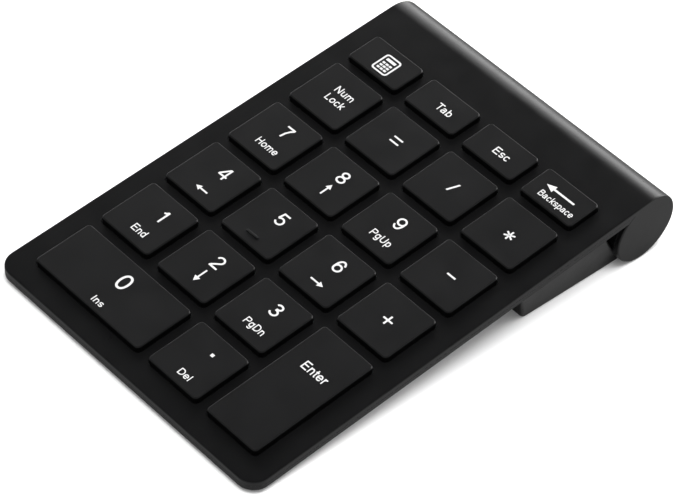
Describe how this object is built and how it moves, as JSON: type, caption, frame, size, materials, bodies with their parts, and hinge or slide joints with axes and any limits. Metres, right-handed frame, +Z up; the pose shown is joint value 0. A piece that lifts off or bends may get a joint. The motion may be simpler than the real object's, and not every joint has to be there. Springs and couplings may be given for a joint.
{
  "type": "numeric keypad",
  "caption": "Slim inclined wireless numeric keypad with flat island keys, a round rear bar, and a box underneath for two cells and the stowed receiver.",
  "frame": {"origin": "on the desk plane, at the centre of the footprint", "axes": "+X to the user's right, +Y away from the user towards the round bar, +Z up"},
  "size_m": [0.085, 0.1308, 0.0188],
  "materials": {
    "cover_plastic": "fine matt grain",
    "keycap_plastic": "satin, very fine grain",
    "cell_wrap": "printed film wrap",
    "spring_steel": "nickel plated",
    "board_laminate": "solder mask",
    "chip_epoxy": "moulded epoxy",
    "can_steel": "satin",
    "chip_ceramic": "ceramic",
    "membrane_film": "translucent film",
    "knob_plastic": "satin",
    "lead_red": "insulation",
    "lead_black": "insulation",
    "dome_silicone": "translucent silicone",
    "screw_steel": "zinc plated",
    "foot_rubber": "matt",
    "grip_plastic": "matt",
    "plug_steel": "satin nickel plate",
    "tongue_plastic": "moulded",
    "contact_gold": "gold plated"
  },
  "bodies": {
    "case": {"top_cover": "cover_plastic", "bottom_cover": "cover_plastic", "floor_plate": "cover_plastic", "aaa_cell_front": "cell_wrap", "aaa_cell_rear": "cell_wrap", "battery_bridge_contact": "spring_steel", "battery_plus_contact": "spring_steel", "battery_minus_contact": "spring_steel", "main_board": "board_laminate", "controller_chip": "chip_epoxy", "crystal": "can_steel", "smd_parts": "chip_ceramic", "membrane_tail": "membrane_film", "tail_clamp": "chip_epoxy", "power_switch_body": "can_steel", "battery_lead_red": "lead_red", "battery_lead_black": "lead_black", "membrane_lower": "membrane_film", "membrane_spacer": "membrane_film", "membrane_upper": "membrane_film", "key_domes": "dome_silicone", "case_screws": "screw_steel", "floor_screws": "screw_steel", "board_screws": "screw_steel", "front_feet": "foot_rubber", "rear_feet": "foot_rubber"},
    "key_0": {"key_0": "keycap_plastic"},
    "key_decimal": {"key_decimal": "keycap_plastic"},
    "key_enter": {"key_enter": "keycap_plastic"},
    "key_1": {"key_1": "keycap_plastic"},
    "key_2": {"key_2": "keycap_plastic"},
    "key_3": {"key_3": "keycap_plastic"},
    "key_4": {"key_4": "keycap_plastic"},
    "key_5": {"key_5": "keycap_plastic"},
    "key_6": {"key_6": "keycap_plastic"},
    "key_plus": {"key_plus": "keycap_plastic"},
    "key_7": {"key_7": "keycap_plastic"},
    "key_8": {"key_8": "keycap_plastic"},
    "key_9": {"key_9": "keycap_plastic"},
    "key_minus": {"key_minus": "keycap_plastic"},
    "key_num_lock": {"key_num_lock": "keycap_plastic"},
    "key_equals": {"key_equals": "keycap_plastic"},
    "key_divide": {"key_divide": "keycap_plastic"},
    "key_multiply": {"key_multiply": "keycap_plastic"},
    "key_calculator": {"key_calculator": "keycap_plastic"},
    "key_tab": {"key_tab": "keycap_plastic"},
    "key_esc": {"key_esc": "keycap_plastic"},
    "key_backspace": {"key_backspace": "keycap_plastic"},
    "zero_stabilizer": {"zero_stabilizer_wire": "spring_steel"},
    "enter_stabilizer": {"enter_stabilizer_wire": "spring_steel"},
    "battery_door": {"battery_door": "cover_plastic"},
    "power_switch": {"power_switch_knob": "knob_plastic"},
    "receiver": {"receiver_grip": "grip_plastic", "receiver_plug_shell": "plug_steel", "receiver_tongue": "tongue_plastic", "receiver_contacts": "contact_gold"}
  },
  "joints": [
    {"name": "key_0_press", "type": "slide", "parent": "case", "child": "key_0", "axis": [0, 0.1219, -0.9925], "range_m": [0, 0.0012], "stiffness_N_per_m": 150, "springref_m": -0.0005, "deforming": ["key_domes"]},
    {"name": "key_decimal_press", "type": "slide", "parent": "case", "child": "key_decimal", "axis": [0, 0.1219, -0.9925], "range_m": [0, 0.0012], "stiffness_N_per_m": 150, "springref_m": -0.0005, "deforming": ["key_domes"]},
    {"name": "key_enter_press", "type": "slide", "parent": "case", "child": "key_enter", "axis": [0, 0.1219, -0.9925], "range_m": [0, 0.0012], "stiffness_N_per_m": 150, "springref_m": -0.0005, "deforming": ["key_domes"]},
    {"name": "key_1_press", "type": "slide", "parent": "case", "child": "key_1", "axis": [0, 0.1219, -0.9925], "range_m": [0, 0.0012], "stiffness_N_per_m": 150, "springref_m": -0.0005, "deforming": ["key_domes"]},
    {"name": "key_2_press", "type": "slide", "parent": "case", "child": "key_2", "axis": [0, 0.1219, -0.9925], "range_m": [0, 0.0012], "stiffness_N_per_m": 150, "springref_m": -0.0005, "deforming": ["key_domes"]},
    {"name": "key_3_press", "type": "slide", "parent": "case", "child": "key_3", "axis": [0, 0.1219, -0.9925], "range_m": [0, 0.0012], "stiffness_N_per_m": 150, "springref_m": -0.0005, "deforming": ["key_domes"]},
    {"name": "key_4_press", "type": "slide", "parent": "case", "child": "key_4", "axis": [0, 0.1219, -0.9925], "range_m": [0, 0.0012], "stiffness_N_per_m": 150, "springref_m": -0.0005, "deforming": ["key_domes"]},
    {"name": "key_5_press", "type": "slide", "parent": "case", "child": "key_5", "axis": [0, 0.1219, -0.9925], "range_m": [0, 0.0012], "stiffness_N_per_m": 150, "springref_m": -0.0005, "deforming": ["key_domes"]},
    {"name": "key_6_press", "type": "slide", "parent": "case", "child": "key_6", "axis": [0, 0.1219, -0.9925], "range_m": [0, 0.0012], "stiffness_N_per_m": 150, "springref_m": -0.0005, "deforming": ["key_domes"]},
    {"name": "key_plus_press", "type": "slide", "parent": "case", "child": "key_plus", "axis": [0, 0.1219, -0.9925], "range_m": [0, 0.0012], "stiffness_N_per_m": 150, "springref_m": -0.0005, "deforming": ["key_domes"]},
    {"name": "key_7_press", "type": "slide", "parent": "case", "child": "key_7", "axis": [0, 0.1219, -0.9925], "range_m": [0, 0.0012], "stiffness_N_per_m": 150, "springref_m": -0.0005, "deforming": ["key_domes"]},
    {"name": "key_8_press", "type": "slide", "parent": "case", "child": "key_8", "axis": [0, 0.1219, -0.9925], "range_m": [0, 0.0012], "stiffness_N_per_m": 150, "springref_m": -0.0005, "deforming": ["key_domes"]},
    {"name": "key_9_press", "type": "slide", "parent": "case", "child": "key_9", "axis": [0, 0.1219, -0.9925], "range_m": [0, 0.0012], "stiffness_N_per_m": 150, "springref_m": -0.0005, "deforming": ["key_domes"]},
    {"name": "key_minus_press", "type": "slide", "parent": "case", "child": "key_minus", "axis": [0, 0.1219, -0.9925], "range_m": [0, 0.0012], "stiffness_N_per_m": 150, "springref_m": -0.0005, "deforming": ["key_domes"]},
    {"name": "key_num_lock_press", "type": "slide", "parent": "case", "child": "key_num_lock", "axis": [0, 0.1219, -0.9925], "range_m": [0, 0.0012], "stiffness_N_per_m": 150, "springref_m": -0.0005, "deforming": ["key_domes"]},
    {"name": "key_equals_press", "type": "slide", "parent": "case", "child": "key_equals", "axis": [0, 0.1219, -0.9925], "range_m": [0, 0.0012], "stiffness_N_per_m": 150, "springref_m": -0.0005, "deforming": ["key_domes"]},
    {"name": "key_divide_press", "type": "slide", "parent": "case", "child": "key_divide", "axis": [0, 0.1219, -0.9925], "range_m": [0, 0.0012], "stiffness_N_per_m": 150, "springref_m": -0.0005, "deforming": ["key_domes"]},
    {"name": "key_multiply_press", "type": "slide", "parent": "case", "child": "key_multiply", "axis": [0, 0.1219, -0.9925], "range_m": [0, 0.0012], "stiffness_N_per_m": 150, "springref_m": -0.0005, "deforming": ["key_domes"]},
    {"name": "key_calculator_press", "type": "slide", "parent": "case", "child": "key_calculator", "axis": [0, 0.1219, -0.9925], "range_m": [0, 0.0012], "stiffness_N_per_m": 150, "springref_m": -0.0005, "deforming": ["key_domes"]},
    {"name": "key_tab_press", "type": "slide", "parent": "case", "child": "key_tab", "axis": [0, 0.1219, -0.9925], "range_m": [0, 0.0012], "stiffness_N_per_m": 150, "springref_m": -0.0005, "deforming": ["key_domes"]},
    {"name": "key_esc_press", "type": "slide", "parent": "case", "child": "key_esc", "axis": [0, 0.1219, -0.9925], "range_m": [0, 0.0012], "stiffness_N_per_m": 150, "springref_m": -0.0005, "deforming": ["key_domes"]},
    {"name": "key_backspace_press", "type": "slide", "parent": "case", "child": "key_backspace", "axis": [0, 0.1219, -0.9925], "range_m": [0, 0.0012], "stiffness_N_per_m": 150, "springref_m": -0.0005, "deforming": ["key_domes"]},
    {"name": "zero_stabilizer_tilt", "type": "hinge", "parent": "case", "child": "zero_stabilizer", "pos_m": [-0.019, -0.05572, 0.00336], "axis": [1, 0, 0], "range_deg": [-12.71, 0]},
    {"name": "enter_stabilizer_tilt", "type": "hinge", "parent": "case", "child": "enter_stabilizer", "pos_m": [0.0331, -0.04172, 0.00508], "axis": [0, 0.9925, 0.1219], "range_deg": [-12.71, 0]},
    {"name": "battery_door_slide", "type": "slide", "parent": "case", "child": "battery_door", "axis": [0, -1, 0], "range_m": [0, 0.032]},
    {"name": "power_switch_slide", "type": "slide", "parent": "case", "child": "power_switch", "axis": [0, 1, 0], "range_m": [0, 0.002]},
    {"name": "receiver_slide", "type": "slide", "parent": "case", "child": "receiver", "axis": [0, -1, 0], "range_m": [0, 0.02]}
  ],
  "couplings": [
    {"joint": "zero_stabilizer_tilt", "follows": "key_0_press", "rad_per_m": -184.71},
    {"joint": "enter_stabilizer_tilt", "follows": "key_enter_press", "rad_per_m": -184.71}
  ]
}
